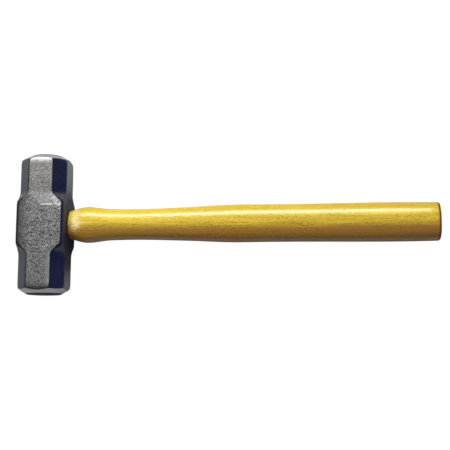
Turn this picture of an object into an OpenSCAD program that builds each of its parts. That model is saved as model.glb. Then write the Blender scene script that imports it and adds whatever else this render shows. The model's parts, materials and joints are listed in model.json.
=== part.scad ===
// Double-faced sledgehammer: a forged head with eight-sided necks on an oval hickory handle.
// +X runs from the head to the butt, +Y along the striking axis, +Z up from the cheek it rests on.
// The origin is on the lower cheek, under the crossing of the striking axis and the handle's axis.

/* [Head] */
// Width across opposite flats of the necks
head_w = 46; // [42:0.5:50]
// Length over the two crowned striking faces
head_l = 136; // [126:1:150]
// Leg of the wide corner flats on the necks
neck_corner = 11.3; // [8:0.1:13]
// Length of the eye block at its full section
block_l = 37; // [32:1:44]
// Leg of the small corner chamfers on the eye block
block_corner = 2; // [1:0.1:4]
// How far each end of the eye block stands out past the necks, along the handle
block_swell = 0.5; // [0:0.1:1.5]
// Length of the run-out between the eye block and each neck
runout_l = 12; // [9:0.5:14]
// Radius of the crowned striking faces
crown_r = 110; // [80:5:200]
// Diameter of each striking face inside its bevel
face_d = 37; // [32:0.5:39]
// Angle of the turned bevel round each face, from the plane of the face
bevel_angle = 30; // [25:1:45]

/* [Eye] */
// Long side of the oval eye, along the striking axis
eye_h = 26; // [23:0.5:28]
// Short side of the oval eye, from cheek to cheek
eye_t = 19; // [16:0.5:19]
// How far the trimmed tenon stands out of the far end of the eye
tenon_proud = 1; // [0:0.5:3]

/* [Wedges] */
// Length of the wooden wedge
wood_wedge_l = 32; // [26:1:36]
// Thickness of the wooden wedge at its trimmed end
wood_wedge_t = 5; // [4:0.2:6]
// Thickness of the wooden wedge at its tip, which is the width of the saw kerf
kerf_t = 1.6; // [1.2:0.1:2]
// Length of each steel wedge
steel_wedge_l = 21; // [15:1:24]
// Thickness of each steel wedge at its struck end
steel_wedge_t = 3.2; // [2.4:0.1:4]
// Width of each steel wedge
steel_wedge_w = 13; // [10:0.5:13.5]
// Distance of each steel wedge from the middle of the eye
steel_wedge_y = 6; // [5:0.5:7]
// Number of steps along each steel wedge
steel_wedge_steps = 3; // [2:1:4]

/* [Handle] */
// Distance from the middle of the head to the end of the butt
butt_x = 379.5; // [372:0.5:400]
// Height of the handle where it enters the head
mouth_h = 27; // [26.8:0.1:29]
// Thickness of the handle where it enters the head
mouth_t = 20.4; // [20:0.1:22]
// Distance from the middle of the head to the shoulder
shoulder_x = 42; // [38:1:46]
// Height of the handle at the shoulder
shoulder_h = 35; // [31:0.5:37]
// Thickness of the handle at the shoulder
shoulder_t = 25; // [23:0.5:28]
// Distance from the middle of the head to the waist
waist_x = 88; // [76:1:100]
// Height of the handle at the waist
waist_h = 29.8; // [26:0.2:31]
// Thickness of the handle at the waist
waist_t = 23; // [20:0.5:25]
// Distance from the middle of the head to the belly
belly_x = 188; // [175:1:200]
// Height of the handle at the belly
belly_h = 36.5; // [33:0.5:40]
// Thickness of the handle at the belly
belly_t = 26.8; // [24:0.2:30]
// Distance from the middle of the head to the slimmest part of the grip
grip_x = 226; // [215:1:250]
// Height of the grip there
grip_h = 36.2; // [32:0.2:39]
// Thickness of the grip there
grip_t = 26.4; // [24:0.2:30]
// Distance from the middle of the head to the widest part near the butt
palm_x = 336; // [300:1:345]
// Height of the handle there
palm_h = 37.6; // [34:0.2:41]
// Thickness of the handle there
palm_t = 27.6; // [25:0.2:31]
// Radius of the rounded edge round the butt
butt_round = 2; // [1:0.5:4]
// Squareness of the oval section, where 2 is a true ellipse
oval_power = 2.35; // [2.1:0.05:2.6]

/* [Hidden] */
circle_sides = 96;
crown_sides = 240;
oval_sides = 48;
runout_steps = 10;
fine_step = 2;
coarse_step = 8;
round_step = 30;
// How far a cutting or joining shape reaches past the surface that it has to clear
reach = 2;
// Share of the shoulder's extra size that is left half-way to the waist
throat_share = 1 / 7;
// Share of the belly's size in the section half-way from the waist
swell_share = 0.4;
// How much the height and the thickness shrink from the palm to the butt
butt_shrink_h = 0.8;
butt_shrink_t = 0.6;

half_head = head_w / 2;
half_block = half_head + block_swell;
tenon_start = -half_block - tenon_proud;
face_y = head_l / 2;
// Where the crown meets the bevel, and the radius at which the bevel clears the necks
rim_y = face_y - crown_r + sqrt(pow(crown_r, 2) - pow(face_d / 2, 2));
clear_r = 0.75 * head_w;
round_x = butt_x - butt_round;

// Half-widths of the block and of the neck, seen square on and seen across the corners
across_corners_block = (half_head + half_block - block_corner) / sqrt(2);
across_corners_neck = (head_w - neck_corner) / sqrt(2);

// The value a share of the way from one to another
function blend(from, to, share) = from + (to - from) * share;

// Distance along the handle, half height and half thickness of each named section
sections = [
    [half_block, mouth_h / 2, mouth_t / 2],
    [shoulder_x, shoulder_h / 2, shoulder_t / 2],
    [
        (shoulder_x + waist_x) / 2,
        blend(waist_h, shoulder_h, throat_share) / 2,
        blend(waist_t, shoulder_t, throat_share) / 2
    ],
    [waist_x, waist_h / 2, waist_t / 2],
    [
        (waist_x + belly_x) / 2,
        blend(waist_h, belly_h, swell_share) / 2,
        blend(waist_t, belly_t, swell_share) / 2
    ],
    [belly_x, belly_h / 2, belly_t / 2],
    [grip_x, grip_h / 2, grip_t / 2],
    [palm_x, palm_h / 2, palm_t / 2],
    [butt_x, (palm_h - butt_shrink_h) / 2, (palm_t - butt_shrink_t) / 2]
];

// Smooth step from 0 to 1
function ease(t) = (1 - cos(180 * t)) / 2;

// Slope of one column of the section list between two neighbours
function rise(i, column) =
    (sections[i + 1][column] - sections[i][column]) / (sections[i + 1][0] - sections[i][0]);

// Slope at a section: level where the outline turns back, and the harmonic mean elsewhere
function slope(i, column) =
    i == 0 ? rise(0, column)
    : i == len(sections) - 1 ? rise(i - 1, column)
    : rise(i - 1, column) * rise(i, column) <= 0 ? 0
    : 2 / (1 / rise(i - 1, column) + 1 / rise(i, column));

// Index of the section at or before x
function span(x, i = 0) = i >= len(sections) - 2 || x < sections[i + 1][0] ? i : span(x, i + 1);

// Half height (column 1) or half thickness (column 2) of the handle at x
function half_size(x, column, i) =
    let (length = sections[i + 1][0] - sections[i][0], t = (x - sections[i][0]) / length)
    sections[i][column] * (1 + 2 * t) * pow(1 - t, 2)
    + sections[i + 1][column] * (3 - 2 * t) * t * t
    + slope(i, column) * length * t * pow(1 - t, 2)
    - slope(i + 1, column) * length * (1 - t) * t * t;

// One coordinate of a squared oval
function oval(size, wave) = size * sign(wave) * pow(abs(wave), 2 / oval_power);

// Points of the handle's section at x, drawn in by inset
function ring(x, inset) =
    let (half_h = half_size(x, 1, span(x)) - inset, half_t = half_size(x, 2, span(x)) - inset)
    [for (j = [0 : oval_sides - 1])
        let (angle = 360 * j / oval_sides)
        [x, oval(half_h, cos(angle)), oval(half_t, sin(angle))]];

// Where the rings stand, and how far each is drawn in round the butt's edge
ring_places = concat(
    [for (x = [half_block : fine_step : waist_x]) [x, 0]],
    [for (x = [waist_x + coarse_step : coarse_step : round_x - coarse_step / 2]) [x, 0]],
    [for (a = [0 : round_step : 90]) [round_x + butt_round * sin(a), butt_round * (1 - cos(a))]]
);

// Right-hand outline of the forging from the middle of the block to one face, as [width, y]
function flank(block, neck) = concat(
    [for (i = [0 : runout_steps])
        let (t = i / runout_steps)
        [block + (neck - block) * ease(t), block_l / 2 + runout_l * t]],
    [[neck, face_y]]
);

module outline(block, neck) {
    half = flank(block, neck);
    count = len(half);
    upper = concat(half, [for (i = [count - 1 : -1 : 0]) [-half[i][0], half[i][1]]]);
    polygon(concat(upper, [for (p = upper) [-p[0], -p[1]]]));
}

// One pair of opposite sides of the forging, extruded along the head's cross direction at turn
module sides(turn, block, neck) {
    rotate([0, turn, 0])
        linear_extrude(height = 2 * head_w, center = true)
            outline(block, neck);
}

// The solid of revolution whose two ends cut the bevels
module bevels() {
    slope = tan(bevel_angle);
    clear_y = rim_y - (clear_r - face_d / 2) * slope;
    tip_r = face_d / 2 - (face_y - rim_y) / slope;
    rotate([90, 0, 0])
        rotate_extrude($fn = crown_sides)
            polygon([
                [0, -face_y],
                [tip_r, -face_y],
                [clear_r, -clear_y],
                [clear_r, clear_y],
                [tip_r, face_y],
                [0, face_y]
            ]);
}

module forging() {
    intersection() {
        bevels();
        sides(0, half_block, half_head);
        sides(90, half_head, half_head);
        sides(45, across_corners_block, across_corners_neck);
        sides(-45, across_corners_block, across_corners_neck);
        for (side = [-1, 1])
            translate([0, side * (face_y - crown_r), 0])
                sphere(r = crown_r, $fn = crown_sides);
    }
}

// The eye's straight-sided oval, swept along the handle from one place to another
module eye_bar(from, to) {
    translate([from, 0, 0])
        rotate([90, 0, 90])
            linear_extrude(height = to - from) {
                square([eye_h - eye_t, eye_t], center = true);
                for (side = [-1, 1])
                    translate([side * (eye_h - eye_t) / 2, 0])
                        circle(d = eye_t, $fn = circle_sides);
            }
}

// The tapered space that the saw kerf opens to when the wooden wedge is driven in
module kerf() {
    translate([tenon_start, 0, 0])
        rotate([90, 0, 0])
            linear_extrude(height = eye_h + reach, center = true)
                polygon([
                    [0, -wood_wedge_t / 2],
                    [wood_wedge_l, -kerf_t / 2],
                    [wood_wedge_l, kerf_t / 2],
                    [0, wood_wedge_t / 2]
                ]);
}

// One stepped steel wedge: each step tapers, then drops to a thinner one
module steel_wedge(side) {
    step_l = steel_wedge_l / steel_wedge_steps;
    step_t = steel_wedge_t / 2 / (steel_wedge_steps + 1);
    flank_points = [for (i = [0 : steel_wedge_steps - 1], end = [0, 1])
        [(i + end) * step_l, steel_wedge_t / 2 - (i + end / 2) * step_t]];
    count = len(flank_points);
    translate([tenon_start, side * steel_wedge_y, 0])
        linear_extrude(height = steel_wedge_w, center = true)
            polygon(concat(flank_points,
                [for (i = [count - 1 : -1 : 0]) [flank_points[i][0], -flank_points[i][1]]]));
}

module handle_body() {
    points = [for (place = ring_places) each ring(place[0], place[1])];
    last = len(points) - oval_sides;
    walls = [for (base = [0 : oval_sides : last - 1], j = [0 : oval_sides - 1])
        let (next = (j + 1) % oval_sides)
        [base + j, base + oval_sides + j, base + oval_sides + next, base + next]];
    near_end = [for (j = [0 : oval_sides - 1]) j];
    butt_end = [for (j = [oval_sides - 1 : -1 : 0]) last + j];
    polyhedron(points = points, faces = concat([near_end], walls, [butt_end]), convexity = 4);
}

module on_axis() {
    translate([0, 0, half_head])
        children();
}

module head() {
    color("#7b7d82")
        on_axis()
            difference() {
                forging();
                eye_bar(-half_block - reach, half_block + reach);
            }
}

module handle() {
    color("#d6ab3a")
        on_axis()
            difference() {
                union() {
                    eye_bar(tenon_start, half_block + reach);
                    handle_body();
                }
                kerf();
                steel_wedge(1);
                steel_wedge(-1);
            }
}

module wood_wedge() {
    color("#b98a55")
        on_axis()
            difference() {
                intersection() {
                    kerf();
                    eye_bar(tenon_start, half_block);
                }
                steel_wedge(1);
                steel_wedge(-1);
            }
}

module steel_wedge_upper() {
    color("#5c5e62")
        on_axis()
            steel_wedge(1);
}

module steel_wedge_lower() {
    color("#5c5e62")
        on_axis()
            steel_wedge(-1);
}

head();
handle();
wood_wedge();
steel_wedge_upper();
steel_wedge_lower();
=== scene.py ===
# A sledgehammer lying on its cheek: forged steel head, lacquered hickory handle, wedges in the eye.
import json
import math
import bpy
from mathutils import Matrix, Vector

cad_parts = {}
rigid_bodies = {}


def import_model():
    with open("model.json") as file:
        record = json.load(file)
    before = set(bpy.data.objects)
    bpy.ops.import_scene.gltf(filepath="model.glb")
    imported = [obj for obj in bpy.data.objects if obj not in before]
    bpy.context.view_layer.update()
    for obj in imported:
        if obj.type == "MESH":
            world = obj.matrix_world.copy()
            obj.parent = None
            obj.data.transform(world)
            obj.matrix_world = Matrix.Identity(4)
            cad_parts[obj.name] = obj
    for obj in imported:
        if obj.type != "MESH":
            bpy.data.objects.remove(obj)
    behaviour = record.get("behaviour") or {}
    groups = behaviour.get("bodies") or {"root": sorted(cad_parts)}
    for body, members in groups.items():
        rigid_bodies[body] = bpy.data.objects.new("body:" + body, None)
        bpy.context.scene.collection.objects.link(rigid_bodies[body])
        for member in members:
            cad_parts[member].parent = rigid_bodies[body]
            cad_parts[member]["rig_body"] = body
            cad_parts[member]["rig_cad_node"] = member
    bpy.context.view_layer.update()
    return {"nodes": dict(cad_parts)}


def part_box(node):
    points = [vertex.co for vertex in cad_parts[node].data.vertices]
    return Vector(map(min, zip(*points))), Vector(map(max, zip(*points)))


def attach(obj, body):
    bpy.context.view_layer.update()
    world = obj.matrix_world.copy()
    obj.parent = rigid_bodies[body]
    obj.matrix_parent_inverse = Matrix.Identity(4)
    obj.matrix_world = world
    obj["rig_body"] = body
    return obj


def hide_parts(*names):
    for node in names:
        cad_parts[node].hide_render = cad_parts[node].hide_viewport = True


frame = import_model()
headLow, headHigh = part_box("head")
handleLow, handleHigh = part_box("handle")
axisHeight = (headLow.z + headHigh.z) / 2  # the handle's axis lies this high above the floor


def deselectAll():
    for thing in bpy.context.selected_objects:
        thing.select_set(False)


def makeActive(piece):
    deselectAll()
    piece.select_set(True)
    bpy.context.view_layer.objects.active = piece


def applyModifier(piece, kind, **settings):
    makeActive(piece)
    modifier = piece.modifiers.new(kind.lower(), kind)
    for name, value in settings.items():
        setattr(modifier, name, value)
    bpy.ops.object.modifier_apply(modifier=modifier.name)


def selectWhere(piece, kind, test):
    # in edit mode: picks the vertices, edges or faces that pass the test, and nothing else
    bpy.ops.mesh.select_mode(type="VERT")
    bpy.ops.mesh.select_all(action="DESELECT")
    bpy.ops.mesh.select_mode(type=kind)
    bpy.ops.object.mode_set(mode="OBJECT")
    items = {"VERT": piece.data.vertices, "EDGE": piece.data.edges, "FACE": piece.data.polygons}[kind]
    for item in items:
        item.select = test(item)
    bpy.ops.object.mode_set(mode="EDIT")


def copyNode(nodeName, pieceName):
    # a merged copy of a frame node, free to be worked on
    makeActive(frame["nodes"][nodeName])
    bpy.ops.object.duplicate()
    piece = bpy.context.view_layer.objects.active
    piece.name = pieceName
    piece.data.name = pieceName
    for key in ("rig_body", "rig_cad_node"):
        if key in piece:
            del piece[key]
    piece.parent = None
    piece.data.materials.clear()
    bpy.ops.object.mode_set(mode="EDIT")
    bpy.ops.mesh.select_all(action="SELECT")
    bpy.ops.mesh.remove_doubles(threshold=0.00001)
    bpy.ops.object.mode_set(mode="OBJECT")
    return piece


def finishPiece(piece, material, slotName, *nodes):
    piece.data.materials.clear()
    piece.data.materials.append(material)
    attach(piece, "root")
    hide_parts(*nodes)
    print(piece.name, "has", len(piece.data.polygons), "faces")


class Field:
    # one socket that can be used in plain arithmetic
    def __init__(self, graph, socket):
        self.graph = graph
        self.socket = socket

    def maths(self, operation, *others):
        return self.graph.add("ShaderNodeMath", {"operation": operation}, dict(enumerate((self, *others))))

    def reverse(self, operation, other):
        return self.graph.add("ShaderNodeMath", {"operation": operation}, {0: other, 1: self})

    def __add__(self, other):
        return self.maths("ADD", other)

    def __sub__(self, other):
        return self.maths("SUBTRACT", other)

    def __mul__(self, other):
        return self.maths("MULTIPLY", other)

    def __truediv__(self, other):
        return self.maths("DIVIDE", other)

    def __rsub__(self, other):
        return self.reverse("SUBTRACT", other)

    def __rtruediv__(self, other):
        return self.reverse("DIVIDE", other)

    def __abs__(self):
        return self.maths("ABSOLUTE")

    __radd__ = __add__
    __rmul__ = __mul__

    def clamp(self):
        return self.graph.add("ShaderNodeClamp", {}, {"Value": self})

    def fade(self, start, end, low=0.0, high=1.0):
        # a smooth step of this value between start and end
        inputs = {"Value": self, "From Min": start, "From Max": end, "To Min": low, "To Max": high}
        return self.graph.add("ShaderNodeMapRange", {"interpolation_type": "SMOOTHSTEP"}, inputs)

    def lift(self, base, more):
        # base where this value is 0, and base + more where it is 1
        return base + more * self


class Graph:
    # one node tree: a material's or the world's
    def __init__(self, tree):
        self.tree = tree
        self.place = self.add("ShaderNodeTexCoord", {}, {}, "Object")
        self.facing = Field(self, self.place.socket.node.outputs["Normal"])

    def add(self, kind, settings, inputs, output=0):
        node = self.tree.nodes.new(kind)
        for name, value in settings.items():
            if name == "stops":
                self.setStops(node.color_ramp, value)
            else:
                setattr(node, name, value)
        for name, value in inputs.items():
            self.plug(node.inputs[name], value)
        return Field(self, node.outputs[output])

    def setStops(self, ramp, stops):
        for element, (position, colour) in zip(ramp.elements, stops):
            element.position = position
            element.color = (*colour, 1.0)

    def plug(self, socket, value):
        if isinstance(value, Field):
            self.tree.links.new(value.socket, socket)
        else:
            if socket.type == "RGBA" and len(value) == 3:
                value = (*value, 1.0)
            socket.default_value = value

    def split(self, vector):
        first = self.add("ShaderNodeSeparateXYZ", {}, {0: vector})
        return [Field(self, part) for part in first.socket.node.outputs]

    def join(self, x, y, z):
        return self.add("ShaderNodeCombineXYZ", {}, {0: x, 1: y, 2: z})

    def length(self, vector):
        return self.add("ShaderNodeVectorMath", {"operation": "LENGTH"}, {0: vector}, "Value")

    def noise(self, scale, detail, roughness, vector=None):
        return self.add("ShaderNodeTexNoise", {}, {"Vector": vector or self.place, "Scale": scale,
                                                   "Detail": detail, "Roughness": roughness})

    def grain(self, scale, detail, roughness, along, shift=0.0):
        # noise drawn out along the handle: the smaller the value of along, the longer its marks
        drawn = self.add("ShaderNodeMapping", {}, {"Vector": self.place, "Location": (shift, 0, 0),
                                                   "Scale": (along, 1.0, 1.0)})
        return self.noise(scale, detail, roughness, drawn)

    def blend(self, factor, first, second):
        # colours only: sockets 6 and 7 of the Mix node, result 2
        return self.add("ShaderNodeMix", {"data_type": "RGBA"}, {0: factor, 6: first, 7: second}, 2)

    def bump(self, height, strength, distance, under=None):
        inputs = {"Height": height, "Strength": strength, "Distance": distance}
        if under is not None:
            inputs["Normal"] = under
        return self.add("ShaderNodeBump", {}, inputs)


class Finish(Graph):
    # the node tree of one material, with a Principled shader at its end
    def __init__(self, name):
        self.material = bpy.data.materials.new(name)
        self.material.use_nodes = True
        super().__init__(self.material.node_tree)
        self.shader = self.tree.nodes["Principled BSDF"]

    def finish(self, **inputs):
        for name, value in inputs.items():
            self.plug(self.shader.inputs[name.replace("_", " ")], value)
        return self.material


headLook = {
    "voxel": 0.0006,                # size of the forging's mesh
    "softening": 13,                # smoothing passes that round every edge
    "shoulderSoftening": 16,        # extra passes where the necks turn into the face bevels
    "faceReach": 0.0095,            # how far the bevels reach back from each face
    "rimRadius": 0.0195,            # these passes stop outside the rim of the crowned face
    "blockSoftening": 26,           # extra passes along the four long edges of the eye block
    "blockReach": 0.026,            # they act this far to both sides of the handle's axis,
    "blockOut": 0.017,              # beyond this distance along the handle
    "blockUp": 0.0145,              # and beyond this distance above and below the axis
    "unevenness": 0.00010,          # depth of the forging's slow waves
    "waveLength": 0.014,
    # noises: scale, detail and roughness
    "grit": (1050.0, 3.0, 0.7),
    "pits": (600.0, 4.0, 0.7),
    "blotches": (75.0, 5.0, 0.6),
    "clouds": (24.0, 3.0, 0.5),
    "turning": (1.0, 3.0, 0.6),
    "turningPitch": 2600.0,         # tool marks to the metre, out from the middle of a face
    "turningDrift": 40.0,           # and along the striking axis
    # where the noises turn into marks: start and full strength
    "darkGrains": (0.485, 0.435),
    "paleGrains": (0.515, 0.57),
    "sideGrains": (0.54, 0.64),
    "bareGrains": (0.52, 0.57),
    "scratchGaps": (0.36, 0.46),
    "stains": (0.35, 0.7),
    "veils": (0.3, 0.7),
    "toolMarks": (0.35, 0.7),
    "wornCorners": (0.53, 0.58),
    "wornPits": (0.44, 0.6),
    # how strong the marks are, as one value or as a base and what is added to it
    "speckStrength": (0.66, 0.34),  # on the necks, and added on the eye block
    "farSpecks": 0.65,              # what is left of the specks towards the wedge end
    "paleStrength": 0.9,
    "farShadeStrength": 0.75,
    "stainStrength": 0.3,
    "veilStrength": 0.6,
    "sideStrength": (0.2, 0.4),
    "eyeShadeStrength": (0.6, 0.5),
    "toolStrength": 0.3,
    "wornStrength": 0.4,
    "paintedLightNeckStrength": 0.12,
    "paintedSheenFloor": 0.1,              # the deepest pits keep out of the painted highlight band
    "edgeStrength": 0.95,           # the dark line between a cheek and a side
    "rubbedAndLitEdge": 0.5,              # taken off the dark edge where it is rubbed and painted bright
    "shoulderStrength": (0.5, 1.6),
    # how a finish comes in by the slant of the surface, 0 on a cheek and 1 square to the handle
    "cheekSlant": (0.58, 0.25),
    "edgeRise": (0.10, 0.26),
    "edgeFall": (0.66, 0.42),
    "sideSlant": (0.6, 0.8),
    # where finishes start and end, in metres from the head's middle
    "blockFade": (0.034, 0.022),    # the eye block gives way to the necks
    "groundMargin": 0.003,          # the grinding starts this far in front of the bevels' reach
    "groundFade": 0.0015,
    "groundSlant": (0.5, 0.75),
    "faceRadius": 0.0183,           # the crowned face inside its bevel
    "faceFade": 0.0008,
    "shoulderPlace": 0.0622,        # where the necks turn into the face bevels
    "shoulderFade": (-0.0056, -0.0002),
    "shoulderRagged": 0.003,        # how far the pits push that line to and fro
    "shoulderLightAndShadeFade": (-0.001, 0.001),  # painted highlight on one side of the handle, painted shade on the other
    "eyeShadeFade": (0.033, 0.019),      # painted shade round both ends of the eye
    "eyeShadeSquash": 0.85,
    "farShadeFade": (-0.006, -0.023),       # painted shade towards the wedge end of the block
    # painted shade: the dark edge widens along the far side of the block
    "farEdgeShadeFade": (-0.0204, -0.0218),
    "speckFade": (-0.024, -0.004),          # the specks are weaker on that side too
    "paintedSheenBand": ((0.012, 0.021), (0.033, 0.026), (-0.012, 0.004)),     # a painted highlight band on the block
    "paintedSheenNeck": ((0.006, 0.0105), (-0.030, -0.036)),                   # and a painted highlight on one neck's edge
    # painted light: one neck is made paler
    "paintedLightNeck": (0.028, 0.045),
    # a rubbed shoulder on the upper cheek, across the corner of the block, and a scratch beside it, both
    # bare metal with a painted highlight
    "upperFade": (0.008, 0.004),    # marks of wear and painted highlight only on the upper cheek, this far below its flat
    "scuffSlant": (0.67, 0.74),
    "scuffLine": 0.0250,            # how far out the shoulder lies, square to its slant
    "scuffShift": 0.002,
    "scuffWidth": (0.0045, 0.0005),
    "scuffLength": (0.0105, 0.004),
    "scratchPlace": (0.0068, 0.0173),
    "scratchWander": 0.002,
    "scratchWidth": (0.0007, 0.0003),
    "scratchLength": (0.0065, 0.004),
    # colours
    "blastedSteel": (0.163, 0.160, 0.154),
    # dark grains, and the painted shade towards the wedge end of the block
    "darkSpeck": (0.018, 0.019, 0.023),
    # pale grains, and the painted highlights on the block and the necks
    "paleSpeck": (0.46, 0.455, 0.44),
    "scaleSteel": (0.078, 0.085, 0.102),
    "scaleCloud": (0.13, 0.131, 0.134),
    "groundSteel": (0.50, 0.505, 0.515),
    "faceSteel": (0.016, 0.016, 0.018),
    # dark edge lines and tool marks, also the painted shade below the shoulders and along the far edge of
    # the block
    "edgeScale": (0.022, 0.023, 0.028),
    # bare metal on worn corners, and the painted highlights on the shoulders, the rubbed places and the
    # scratch
    "brightEdge": (0.70, 0.70, 0.70),
    "eyeShadeSteel": (0.014, 0.016, 0.035),
    # shader values: a base and what a noise or a mask adds to it
    "metal": 0.92,
    "crownMetal": 0.6,              # taken off on the crowned faces
    "eyeShadeMetal": 0.7,                # and in the painted shade round the eye
    "cheekRough": (0.4, 0.2),
    "sideRough": (0.16, 0.14),
    "groundRough": (0.22, 0.12),
    "rubbedAndLitRough": 0.16,            # taken off on the shoulders and the rubbed places, which carry painted highlights
    "crownRough": 0.25,             # added on the crowned faces
    "eyeShadeRough": 0.4,
    "speckRelief": (0.12, 0.88),    # on the sides, and added on the cheeks
    "blockRelief": 0.3,
    "groundRelief": 0.9,            # taken off on the ground bevels and faces
    "toolRelief": 0.12,
    "stainRelief": (0.2, 0.5),
    "stainBump": (0.35, 0.0012),    # strength and depth
    "speckBump": (0.75, 0.0007),
}


def headZones(g):
    # masks from 0 to 1 for the head's finishes, and the distance out from the striking axis
    look = headLook
    nx, ny, nz = g.split(g.facing)
    px, py, pz = g.split(g.place)
    turned = abs(nx) / (g.length(g.join(nx, 0.0, nz)) + 0.0001)  # never divides by nothing
    zones = {"cheek": turned.fade(*look["cheekSlant"])}
    zones["edge"] = turned.fade(*look["edgeRise"]) * turned.fade(*look["edgeFall"])
    zones["block"] = abs(py).fade(*look["blockFade"])
    groundStart = headHigh.y - look["faceReach"] + look["groundMargin"]
    zones["face"] = (abs(py).fade(groundStart, groundStart + look["groundFade"])
                     * abs(ny).fade(*look["groundSlant"]))
    radius = g.length(g.join(px, 0.0, pz - axisHeight))
    zones["bevel"] = radius.fade(look["faceRadius"] - look["faceFade"], look["faceRadius"])
    zones["crown"] = radius.fade(look["faceRadius"], look["faceRadius"] - look["faceFade"]) * zones["face"]
    zones["eyeShade"] = (g.length(g.join(py * look["eyeShadeSquash"], 0.0, pz - axisHeight)).fade(*look["eyeShadeFade"])
                    * turned.fade(*look["sideSlant"]))
    zones["radius"] = radius
    return zones


def headWearAndHighlight(g, specks, blotches, clouds):
    # bare bright metal that also carries a painted highlight: the rubbed shoulder of the block and the
    # scratch
    look = headLook
    px, py, pz = g.split(g.place)
    upper = pz.fade(*(headHigh.z - depth for depth in look["upperFade"]))
    slantX, slantY = look["scuffSlant"]
    across = abs(px * slantX + py * slantY - look["scuffLine"])
    along = abs(px * slantY - py * slantX + look["scuffShift"])
    scuff = across.fade(*look["scuffWidth"]) * along.fade(*look["scuffLength"]) * upper
    scratchX, scratchY = look["scratchPlace"]
    wander = look["scratchWander"] * (clouds - 0.5)
    scratch = abs(py - scratchY + wander).fade(*look["scratchWidth"]) * upper
    scratch = scratch * abs(px - scratchX).fade(*look["scratchLength"])
    scratch = scratch * blotches.fade(*look["scratchGaps"])
    # the bare metal is broken up into grains, a little less so in its middle
    return (scuff * (specks + 0.05 * scuff).fade(*look["bareGrains"]) + scratch).clamp()


def blastedCheeks(g, zones, specks, pits, blotches, rubbedAndLit):
    # speckled steel: dark pits and pale grains, painted shade towards one side, painted highlight bands,
    # and rubbed places that also carry a painted highlight
    look = headLook
    px, py = g.split(g.place)[:2]
    strength = zones["block"].lift(*look["speckStrength"]) * px.fade(*look["speckFade"], look["farSpecks"])
    darkGrains = specks.fade(*look["darkGrains"]) * strength
    colour = g.blend(darkGrains, look["blastedSteel"], look["darkSpeck"])
    paleGrains = specks.fade(*look["paleGrains"]) * strength * look["paleStrength"]
    colour = g.blend(paleGrains, colour, look["paleSpeck"])
    # painted shade: the block darkens towards the wedge end
    farShade = px.fade(*look["farShadeFade"]) * zones["block"]
    colour = g.blend(farShade * look["farShadeStrength"], colour, look["darkSpeck"])
    # painted highlights: a band across the block, a rim on one neck and a paler neck
    fromY, toY, alongX = look["paintedSheenBand"]
    paintedSheen = py.fade(*fromY) * py.fade(*toY) * px.fade(*alongX)
    neckX, neckY = look["paintedSheenNeck"]
    paintedSheen = (paintedSheen + px.fade(*neckX) * py.fade(*neckY)).clamp() * (pits - look["paintedSheenFloor"]).clamp()
    paintedSheen = paintedSheen + look["paintedLightNeckStrength"] * py.fade(*look["paintedLightNeck"])
    colour = g.blend(paintedSheen, colour, look["paleSpeck"])
    colour = g.blend(blotches.fade(*look["stains"]) * look["stainStrength"], colour, look["scaleCloud"])
    return g.blend(rubbedAndLit, colour, look["brightEdge"])


def scaledSides(g, zones, specks, blotches, clouds):
    # smooth dark scale with a few grains, and painted shade round the eye
    look = headLook
    veil = clouds.fade(*look["veils"]) * look["veilStrength"]
    colour = g.blend(veil, look["scaleSteel"], look["scaleCloud"])
    grains = specks.fade(*look["sideGrains"]) * zones["block"].lift(*look["sideStrength"])
    colour = g.blend(grains, colour, look["blastedSteel"])
    # painted shade: the sides darken round both ends of the eye
    eyeShade = zones["eyeShade"] * blotches.lift(*look["eyeShadeStrength"]).clamp()
    return g.blend(eyeShade, colour, look["eyeShadeSteel"])


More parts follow.
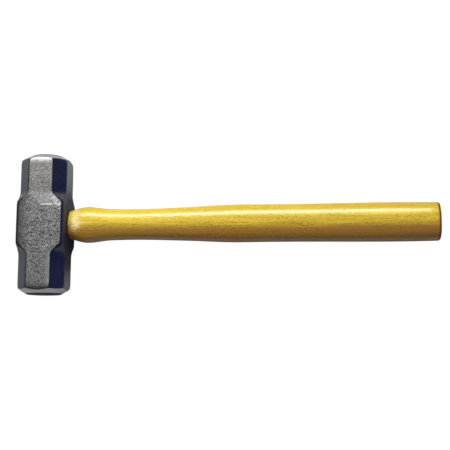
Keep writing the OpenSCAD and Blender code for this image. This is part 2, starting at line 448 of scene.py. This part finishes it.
def forgedSteel():
    # blasted cheeks, scaled sides, dark lines between them, ground bevels and dark crowned faces
    look = headLook
    g = Finish("forgedSteel")
    px, py = g.split(g.place)[:2]
    zones = headZones(g)
    cheek, edge, block, face, crown, eyeShade = (zones[name] for name in
                                            ("cheek", "edge", "block", "face", "crown", "eyeShade"))
    pits = g.noise(*look["pits"])
    blotches = g.noise(*look["blotches"])
    clouds = g.noise(*look["clouds"])
    specks = g.noise(*look["grit"]) * 0.55 + pits * 0.45
    turning = g.noise(*look["turning"], g.join(zones["radius"] * look["turningPitch"], 0.0,
                                               py * look["turningDrift"]))
    rubbedAndLit = headWearAndHighlight(g, specks, blotches, clouds)

    colour = g.blend(cheek, scaledSides(g, zones, specks, blotches, clouds),
                     blastedCheeks(g, zones, specks, pits, blotches, rubbedAndLit))
    # painted shade: a wider dark edge on the far side of the block
    farEdgeShade = px.fade(*look["farEdgeShadeFade"]) * block
    darkEdge = (edge * (look["edgeStrength"] - look["rubbedAndLitEdge"] * rubbedAndLit) + farEdgeShade).clamp()
    colour = g.blend(darkEdge, colour, look["edgeScale"])
    ragged = look["shoulderRagged"] * (pits - 0.5)
    shoulder = (abs(py) - look["shoulderPlace"] - ragged).fade(*look["shoulderFade"])
    shoulder = shoulder * (1 - edge) * cheek
    # painted highlight on the shoulders at one end of the head, painted shade on those at the other
    shoulderLightAndShade = g.blend(py.fade(*look["shoulderLightAndShadeFade"]), look["edgeScale"], look["brightEdge"])
    colour = g.blend(shoulder * (pits - 0.5).lift(*look["shoulderStrength"]).clamp(), colour, shoulderLightAndShade)
    ground = g.blend(zones["bevel"], look["faceSteel"], look["groundSteel"])
    ground = g.blend(turning.fade(*look["toolMarks"]) * look["toolStrength"], ground, look["edgeScale"])
    colour = g.blend(face, colour, ground)
    sharp = g.add("ShaderNodeNewGeometry", {}, {}, "Pointiness")
    worn = sharp.fade(*look["wornCorners"]) * pits.fade(*look["wornPits"]) * (1 - face) * (1 - edge)
    colour = g.blend(worn * look["wornStrength"], colour, look["brightEdge"])

    rough = cheek * pits.lift(*look["cheekRough"]) + (1 - cheek) * clouds.lift(*look["sideRough"])
    rough = rough * (1 - face) + face * turning.lift(*look["groundRough"])
    rough = rough - look["rubbedAndLitRough"] * (shoulder * (1 - face) + rubbedAndLit * (1 - shoulder)).clamp()
    rough = rough + look["crownRough"] * crown + look["eyeShadeRough"] * eyeShade
    relief = cheek.lift(*look["speckRelief"]) + look["blockRelief"] * block * (1 - cheek)
    relief = specks * relief * (1 - look["groundRelief"] * face)
    relief = relief + turning * face * look["toolRelief"]
    normal = g.bump(blotches * cheek.lift(*look["stainRelief"]), *look["stainBump"])
    normal = g.bump(relief, *look["speckBump"], normal)
    metal = look["metal"] - look["crownMetal"] * crown - look["eyeShadeMetal"] * eyeShade
    return g.finish(Base_Color=colour, Metallic=metal, Roughness=rough, Normal=normal)


def makeHead():
    look = headLook
    head = copyNode("head", "forgedHead")
    applyModifier(head, "REMESH", mode="VOXEL", voxel_size=look["voxel"], use_smooth_shade=True)
    applyModifier(head, "SMOOTH", factor=0.5, iterations=look["softening"])
    makeActive(head)
    bpy.ops.object.mode_set(mode="EDIT")
    selectWhere(head, "VERT", lambda v: abs(v.co.y) > headHigh.y - look["faceReach"]
                and math.hypot(v.co.x, v.co.z - axisHeight) > look["rimRadius"])
    bpy.ops.mesh.vertices_smooth(factor=0.5, repeat=look["shoulderSoftening"])
    selectWhere(head, "VERT", lambda v: abs(v.co.y) < look["blockReach"] and abs(v.co.x) > look["blockOut"]
                and abs(v.co.z - axisHeight) > look["blockUp"])
    bpy.ops.mesh.vertices_smooth(factor=0.5, repeat=look["blockSoftening"])
    bpy.ops.object.mode_set(mode="OBJECT")
    waves = bpy.data.textures.new("forgingWaves", "CLOUDS")
    waves.noise_scale = look["waveLength"]
    applyModifier(head, "DISPLACE", texture=waves, texture_coords="LOCAL", mid_level=1.0,
                  strength=look["unevenness"])
    finishPiece(head, forgedSteel(), "head", "head")


handleLook = {
    "corner": 0.554,                # 0.5 is a true ellipse, above it the oval is squarer
    "cornerSteps": 16,              # points along each quarter of the oval
    "mouthInset": 0.0003,           # the tenon is cut off this far inside the head
    "tenonOverlap": 0.003,          # how far the tenon runs on inside the shaft
    "buttInsets": (0.003, 0.004),   # rings of faces drawn in on the flat butt
    "smoothAngle": 40.0,
    # noises: scale, detail, roughness and how much they are drawn out along the handle
    "pores": (1100.0, 3.0, 0.7, 0.3),
    "flecks": (700.0, 4.0, 0.75, 0.33),
    "fleckShift": 0.3,
    "streaks": (300.0, 5.0, 0.65, 0.045),
    "boards": (70.0, 3.0, 0.5, 0.06),
    # where the noises turn into marks: start and full strength
    "paleGrain": (0.40, 0.60),
    "brownBoards": (0.5, 0.75),
    "redGrain": (0.49, 0.56),
    "patches": (0.42, 0.6),
    "fleckMarks": (0.50, 0.62),
    "poreMarks": (0.55, 0.64),
    "shavedGrain": (0.57, 0.45),
    "ringMarks": (-0.3, 0.9),
    "dullFlecks": (0.45, 0.75),
    # how strong the marks are, as one value or as a base and what is added to it
    "boardStrength": 0.35,          # wide brown bands
    "amberStrength": (0.45, 0.4),
    "redStrength": 0.8,
    "patchStrength": (0.6, 0.4),    # flecks and pores come and go along these bands
    "fleckStrength": (0.30, 0.3),
    "poreStrength": 0.6,
    "shavedAndLitStrength": 0.7,
    "ringStrength": 0.8,
    "shadeStrength": 0.95,
    # where things start and end, in metres
    "heartAndShadeFade": (0.004, -0.008),   # the brown heartwood, which also paints the shade of the lower side, begins below this line across the handle
    "heartWander": 0.018,           # how far the grain pushes that line to and fro
    "heartAndShadeDarkens": (0.05, 0.84, 0.95),     # from this far along, and how strong at both ends
    "amberFade": (0.007, 0.016),
    "amberAndShadeStart": 0.10,             # it deepens from this far along to the butt, as painted shade
    "shavedFrom": (0.0255, 0.0295),         # a scraped patch where the shoulder was fitted to the eye, which also serves as a painted highlight
    "shavedTo": (0.0385, 0.0305),
    "shavedBelow": (-0.010, -0.004),
    "shavedAbove": (0.0165, 0.013),
    "shavedRise": 0.005,
    "contactFade": (0.0015, 0.0005),        # the shaded ring at the mouth of the eye
    "buttFade": (0.0032, 0.0018),           # end grain at the butt, and at the tenon's trimmed end
    "tenonFade": (0.0005, 0.0002),
    "pith": (0.030, 0.020),                 # the growth rings run round a point this far off
    "ringPitch": 2600.0,
    # colours
    "sapwood": (0.76, 0.53, 0.012),
    "paleSapwood": (0.84, 0.61, 0.035),
    "heartwood": (0.32, 0.155, 0.020),
    "amberEdge": (0.56, 0.36, 0.004),       # richer lacquer along the top edge of the oval, deepened towards the butt as painted shade
    "redStreak": (0.40, 0.15, 0.02),
    "shavedAndLitWood": (0.97, 0.86, 0.42),
    "pore": (0.20, 0.10, 0.012),
    "endGrain": (0.11, 0.035, 0.014),
    "paleEndGrain": (0.20, 0.075, 0.026),
    "contactShade": (0.03, 0.018, 0.01),
    # shader values: the wood's, then those of the clear lacquer over it
    "woodRough": (0.34, 0.2),       # a base, and what the flecks add to it
    "endGrainRough": 0.25,
    "grainBump": (0.3, 0.0012),     # strength and depth
    "poreBump": (0.5, 0.0006),
    "lacquer": 1.25,
    "fleckLacquer": 1.1,            # taken off the lacquer over flecks
    "rawLacquer": 0.8,              # and at the raw ends and the mouth of the eye
    "lacquerRoughness": 0.24,
    "lacquerIor": 1.52,
    "woodShine": 0.25,
}


def handleSections():
    # distance along the handle, half height and half thickness, read off the frame's own handle
    places = {}
    for vertex in frame["nodes"]["handle"].data.vertices:
        x = round(vertex.co.x, 5)
        if x > headHigh.x - 0.0001:
            y, z = places.get(x, (0, 0))
            places[x] = (max(y, abs(vertex.co.y)), max(z, abs(vertex.co.z - axisHeight)))
    return [(x, *places[x]) for x in sorted(places)]


def makeTenon():
    # the frame's tenon with its kerf and wedge slots, cut off at the mouth and run on a little
    look = handleLook
    tenon = copyNode("handle", "tenon")
    bpy.ops.object.mode_set(mode="EDIT")
    bpy.ops.mesh.select_all(action="SELECT")
    mouth = headHigh.x - look["mouthInset"]
    bpy.ops.mesh.bisect(plane_co=(mouth, 0, 0), plane_no=(1, 0, 0), use_fill=True, clear_outer=True)
    selectWhere(tenon, "FACE", lambda f: f.center.x > mouth - 0.00001)
    bpy.ops.mesh.extrude_region_move(TRANSFORM_OT_translate={"value": (look["tenonOverlap"], 0, 0)})
    bpy.ops.object.mode_set(mode="OBJECT")
    return tenon


def makeHandle():
    look = handleLook
    sections = handleSections()
    x, halfHeight, halfThickness = sections[0]
    deselectAll()
    bpy.ops.mesh.primitive_plane_add(size=2, rotation=(0, math.pi / 2, 0), location=(x, 0, axisHeight))
    handle = bpy.context.active_object
    handle.name = "hickoryHandle"
    handle.data.name = "hickoryHandle"
    bpy.ops.object.transform_apply()
    bpy.ops.object.mode_set(mode="EDIT")
    bpy.ops.mesh.select_all(action="SELECT")
    # the corners of a square meet in the middle of its sides, which makes an oval of it
    bpy.ops.mesh.bevel(offset=0.99999, affect="VERTICES", segments=look["cornerSteps"],
                       profile=look["corner"])
    bpy.ops.mesh.remove_doubles(threshold=0.001)
    bpy.ops.transform.resize(value=(1, halfHeight, halfThickness), center_override=(x, 0, axisHeight))
    for nextX, nextHeight, nextThickness in sections[1:]:
        bpy.ops.mesh.extrude_region_move(TRANSFORM_OT_translate={"value": (nextX - x, 0, 0)})
        bpy.ops.transform.resize(value=(1, nextHeight / halfHeight, nextThickness / halfThickness),
                                 center_override=(nextX, 0, axisHeight))
        x, halfHeight, halfThickness = nextX, nextHeight, nextThickness
    for step in look["buttInsets"]:
        bpy.ops.mesh.inset(thickness=step)
    bpy.ops.mesh.select_all(action="SELECT")
    bpy.ops.mesh.normals_make_consistent(inside=False)
    bpy.ops.object.mode_set(mode="OBJECT")

    tenon = makeTenon()
    applyModifier(handle, "BOOLEAN", operation="UNION", object=tenon, solver="EXACT")
    bpy.data.objects.remove(tenon)
    makeActive(handle)
    bpy.ops.object.shade_smooth_by_angle(angle=math.radians(look["smoothAngle"]))
    finishPiece(handle, lacqueredHickory(), "handle", "handle")


def hickoryColour(g, pores, flecks, streaks, boards, contact, endGrain):
    # pale sapwood over brown heartwood that also paints the lower side's shade, dark pores, a scraped patch
    # with a painted highlight, painted shade at the mouth and raw end grain
    look = handleLook
    px, py, pz = g.split(g.place)
    wander = (streaks - 0.5) * look["heartWander"] + (boards - 0.5) * look["heartWander"]
    # painted shade: the lower side of the handle turns heartwood brown, more so towards the butt
    heartAndShade = (py + wander).fade(*look["heartAndShadeFade"])
    darkStart, darkNear, darkFar = look["heartAndShadeDarkens"]
    colour = g.blend(streaks.fade(*look["paleGrain"]), look["sapwood"], look["paleSapwood"])
    colour = g.blend(heartAndShade * px.fade(darkStart, handleHigh.x, darkNear, darkFar), colour, look["heartwood"])
    colour = g.blend(boards.fade(*look["brownBoards"]) * look["boardStrength"], colour, look["heartwood"])
    # amber lacquer on the top edge, deepened towards the butt as painted shade
    amberAndShade = px.fade(look["amberAndShadeStart"], handleHigh.x).lift(*look["amberStrength"])
    colour = g.blend(py.fade(*look["amberFade"]) * amberAndShade, colour, look["amberEdge"])
    red = heartAndShade * (streaks * 0.7 + boards * 0.3).fade(*look["redGrain"]) * look["redStrength"]
    colour = g.blend(red, colour, look["redStreak"])
    patchy = boards.fade(*look["patches"]).lift(*look["patchStrength"])
    dark = flecks.fade(*look["fleckMarks"]) * heartAndShade.lift(*look["fleckStrength"]) * patchy
    colour = g.blend(dark, colour, look["pore"])
    colour = g.blend(pores.fade(*look["poreMarks"]) * look["poreStrength"] * patchy, colour, look["pore"])
    # painted highlight: pale scraped wood on the upper face of the shoulder near the eye
    shavedAndLit = px.fade(*look["shavedFrom"]) * px.fade(*look["shavedTo"]) * py.fade(*look["shavedBelow"])
    shavedAndLit = shavedAndLit * py.fade(*look["shavedAbove"]) * pz.fade(axisHeight, axisHeight + look["shavedRise"])
    shavedAndLit = shavedAndLit * (streaks * 0.3 + flecks * 0.4 + pores * 0.3).fade(*look["shavedGrain"])
    colour = g.blend(shavedAndLit * look["shavedAndLitStrength"], colour, look["shavedAndLitWood"])
    colour = g.blend(contact * look["shadeStrength"], colour, look["contactShade"])
    pithY, pithZ = look["pith"]
    rings = g.length(g.join(0.0, py + pithY, pz + pithZ)) * look["ringPitch"] + streaks * 4.0
    rings = rings.maths("SINE").fade(*look["ringMarks"]) * look["ringStrength"]
    sawn = g.blend(rings, look["endGrain"], look["paleEndGrain"])
    return g.blend(endGrain * look["shadeStrength"], colour, sawn)


def lacqueredHickory():
    # the grain shows in the colour and through the clear lacquer's relief
    look = handleLook
    g = Finish("lacqueredHickory")
    px = g.split(g.place)[0]
    pores = g.grain(*look["pores"])
    flecks = g.grain(*look["flecks"], look["fleckShift"])
    streaks = g.grain(*look["streaks"])
    boards = g.grain(*look["boards"])
    contact = px.fade(*(headHigh.x + reach for reach in look["contactFade"]))
    endGrain = (px.fade(*(handleHigh.x - reach for reach in look["buttFade"]))
                + px.fade(*(handleLow.x + reach for reach in look["tenonFade"])))
    colour = hickoryColour(g, pores, flecks, streaks, boards, contact, endGrain)
    rough = flecks.lift(*look["woodRough"]) + look["endGrainRough"] * endGrain
    coat = look["lacquer"] - look["fleckLacquer"] * flecks.fade(*look["dullFlecks"])
    coat = coat * (1 - look["rawLacquer"] * endGrain) * (1 - look["rawLacquer"] * contact)
    relief = g.bump(streaks * 0.5 + boards * 0.5, *look["grainBump"])
    relief = g.bump(pores * 0.5 + flecks * 0.5, *look["poreBump"], relief)
    return g.finish(Base_Color=colour, Roughness=rough, Normal=relief, Coat_Weight=coat.clamp(),
                    Coat_Roughness=look["lacquerRoughness"], IOR=look["lacquerIor"],
                    Specular_IOR_Level=look["woodShine"])


wedgeLook = {
    "edgeRound": 0.00025,           # worn edges of the steel wedges
    "edgeSteps": 3,
    "edgeAngle": 30.0,
    "smoothAngle": 35.0,
    "woodVoxel": 0.00035,
    "woodSoftening": 2,
    # noises: scale, detail and roughness, and for wood how much they are drawn out
    "woodStreaks": (620.0, 4.0, 0.6, 0.12),
    "woodPores": (1900.0, 2.0, 0.5, 0.2),
    "scratches": (900.0, 4.0, 0.65),
    "stains": (260.0, 4.0, 0.6),
    # where the noises turn into marks: start and full strength
    "woodGrain": (0.35, 0.65),
    "poreMarks": (0.55, 0.7),
    "rubbedMarks": (0.4, 0.7),
    "rustMarks": (0.55, 0.75),
    # colours
    "wood": (0.42, 0.24, 0.09),
    "darkWood": (0.22, 0.11, 0.04),
    "steel": (0.11, 0.11, 0.115),
    "rubbedSteel": (0.26, 0.25, 0.24),
    "rust": (0.16, 0.06, 0.025),
    # shader values: a base and what a noise adds to it, and bumps by strength and depth
    "woodRough": (0.72, 0.15),
    "woodBump": (0.5, 0.0005),
    "steelRough": (0.34, 0.3),
    "steelBump": (0.4, 0.0004),
    "metal": 0.95,
    "rustMetal": 0.7,               # taken off under the rust
}


def wedgeWood():
    # dry split hardwood, raw at its trimmed end
    look = wedgeLook
    g = Finish("wedgeWood")
    streak = g.grain(*look["woodStreaks"])
    pores = g.grain(*look["woodPores"])
    colour = g.blend(streak.fade(*look["woodGrain"]), look["wood"], look["darkWood"])
    colour = g.blend(pores.fade(*look["poreMarks"]) * 0.7, colour, look["darkWood"])
    return g.finish(Base_Color=colour, Roughness=streak.lift(*look["woodRough"]),
                    Normal=g.bump(streak * 0.5 + pores * 0.5, *look["woodBump"]))


def wedgeSteel():
    # dull struck steel with a few rust stains
    look = wedgeLook
    g = Finish("wedgeSteel")
    scratch = g.noise(*look["scratches"])
    stain = g.noise(*look["stains"]).fade(*look["rustMarks"])
    colour = g.blend(scratch.fade(*look["rubbedMarks"]), look["steel"], look["rubbedSteel"])
    colour = g.blend(stain * 0.6, colour, look["rust"])
    return g.finish(Base_Color=colour, Metallic=look["metal"] - look["rustMetal"] * stain,
                    Roughness=scratch.lift(*look["steelRough"]), Normal=g.bump(scratch, *look["steelBump"]))


def makeWedges():
    look = wedgeLook
    wood = copyNode("wood_wedge", "splitWedge")
    applyModifier(wood, "REMESH", mode="VOXEL", voxel_size=look["woodVoxel"], use_smooth_shade=True)
    applyModifier(wood, "SMOOTH", factor=0.5, iterations=look["woodSoftening"])
    finishPiece(wood, wedgeWood(), "wood_wedge", "wood_wedge")
    steel = wedgeSteel()
    for side in ("upper", "lower"):
        nodeName = "steel_wedge_" + side
        wedge = copyNode(nodeName, side + "SteelWedge")
        applyModifier(wedge, "BEVEL", width=look["edgeRound"], segments=look["edgeSteps"],
                      limit_method="ANGLE", angle_limit=math.radians(look["edgeAngle"]))
        bpy.ops.object.shade_smooth_by_angle(angle=math.radians(look["smoothAngle"]))
        finishPiece(wedge, steel, "steel_wedge", nodeName)


studio = {
    "cameraPlace": (0.2272, -0.1088, 0.7626),   # from the middle of the head
    "cameraLens": 64.0,
    "cameraSensor": 36.0,
    "cameraPitch": 8.0,
    "cameraYaw": 3.86,
    "cameraRoll": -0.04,
    "floorSize": 12.0,
    "floorMiddle": 0.18,                        # how far along the handle
    "floorSeen": 1.14,                          # brightness of the floor for the camera
    "floorShading": 0.12,                       # share of its real shading that the camera sees too
    "floorGloss": (0.62, 0.62, 0.62),           # the floor that the steel mirrors
    "floorBounce": (0.3, 0.3, 0.3),             # the floor that throws light back
    "worldSeen": (1.14, 1.14, 1.14),
    "worldFill": (0.13, 0.13, 0.14),
    "horizon": (0.035, 0.055, 0.30),            # mirrored beyond the butt
    "farHorizon": (0.14, 0.14, 0.15),           # mirrored on the other sides
    "zenith": (0.30, 0.30, 0.31),
    "skyHeights": (0.4, 0.85),                  # where the horizon ends and the zenith begins
    "skyTurn": (0.1, 0.5),                      # where the far horizon gives way to the other
    "middle": (0.15, 0.0, 0.02),                # what the lights are aimed at
    # name: place, width, height, power, and whether the steel mirrors it
    "lights": {
        "windowLight": ((0.10, 0.78, 0.79), 1.05, 0.28, 14.5, True),
        "sideLight": ((-0.60, 0.20, 0.90), 0.35, 0.35, 2.2, True),
        "lowFill": ((0.15, -0.95, 0.30), 0.9, 0.35, 1.2, False),
    },
}


def makeCamera():
    data = bpy.data.cameras.new("camera")
    data.lens = studio["cameraLens"]
    data.sensor_width = studio["cameraSensor"]
    camera = bpy.data.objects.new("camera", data)
    bpy.context.scene.collection.objects.link(camera)
    turn = (Matrix.Rotation(math.radians(studio["cameraYaw"]), 4, "Y")
            @ Matrix.Rotation(math.radians(studio["cameraPitch"]), 4, "X")
            @ Matrix.Rotation(math.radians(studio["cameraRoll"]), 4, "Z"))
    place = Vector(studio["cameraPlace"]) + Vector((0, 0, axisHeight))
    camera.matrix_world = Matrix.Translation(place) @ turn
    bpy.context.scene.camera = camera


def makeFloor():
    # seen as an even pale sheet, mirrored and bounced as a real one with the hammer's shadow on it
    deselectAll()
    bpy.ops.mesh.primitive_plane_add(size=studio["floorSize"],
                                     location=(studio["floorMiddle"], 0, headLow.z))
    floor = bpy.context.active_object
    floor.name = "floor"
    g = Finish("paleFloor")
    seen = g.add("ShaderNodeLightPath", {}, {}, "Is Camera Ray")
    gloss = g.add("ShaderNodeLightPath", {}, {}, "Is Glossy Ray")
    sheet = g.add("ShaderNodeEmission", {}, {"Color": (1, 1, 1), "Strength": studio["floorSeen"]})
    mirrored = g.add("ShaderNodeBsdfDiffuse", {}, {"Color": studio["floorGloss"]})
    bounced = g.add("ShaderNodeBsdfDiffuse", {}, {"Color": studio["floorBounce"]})
    lit = g.add("ShaderNodeMixShader", {}, {0: gloss, 1: bounced, 2: mirrored})
    # a little of the real shading stays, so that the hammer stands on the floor
    sheet = g.add("ShaderNodeMixShader", {}, {0: studio["floorShading"], 1: sheet, 2: mirrored})
    surface = g.add("ShaderNodeMixShader", {}, {0: seen, 1: lit, 2: sheet})
    g.plug(g.tree.nodes["Material Output"].inputs["Surface"], surface)
    floor.data.materials.append(g.material)


def areaLight(name, place, width, height, power, mirrored):
    data = bpy.data.lights.new(name, "AREA")
    data.shape = "RECTANGLE"
    data.size = width
    data.size_y = height
    data.energy = power
    light = bpy.data.objects.new(name, data)
    bpy.context.scene.collection.objects.link(light)
    aim = (Vector(studio["middle"]) - Vector(place)).to_track_quat("-Z", "Y")
    light.matrix_world = Matrix.Translation(place) @ aim.to_matrix().to_4x4()
    light.visible_camera = False
    light.visible_glossy = mirrored


def makeWorld():
    # pale where the camera sees it, dim as fill, dark at the horizon where the steel mirrors it
    world = bpy.data.worlds.new("studio")
    bpy.context.scene.world = world
    world.use_nodes = True
    g = Graph(world.node_tree)
    direction = g.split(Field(g, g.place.socket.node.outputs["Generated"]))
    stops = tuple(zip(studio["skyHeights"], (studio["horizon"], studio["zenith"])))
    sky = g.add("ShaderNodeValToRGB", {"stops": stops}, {0: direction[2]})
    turnStart, turnEnd = studio["skyTurn"]
    beyondButt = g.add("ShaderNodeMapRange", {}, {"Value": direction[0], "From Min": turnStart,
                                                  "From Max": turnEnd})
    mirrored = g.blend(beyondButt, studio["farHorizon"], sky)
    glossy = g.add("ShaderNodeLightPath", {}, {}, "Is Glossy Ray")
    seen = g.add("ShaderNodeLightPath", {}, {}, "Is Camera Ray")
    unseen = g.blend(glossy, studio["worldFill"], mirrored)
    g.plug(g.tree.nodes["Background"].inputs["Color"], g.blend(seen, unseen, studio["worldSeen"]))


makeCamera()
makeFloor()
makeWorld()
for lightName, settings in studio["lights"].items():
    areaLight(lightName, *settings)
print("studio ready")
makeHead()
makeHandle()
makeWedges()
bpy.context.scene.view_settings.view_transform = "Standard"
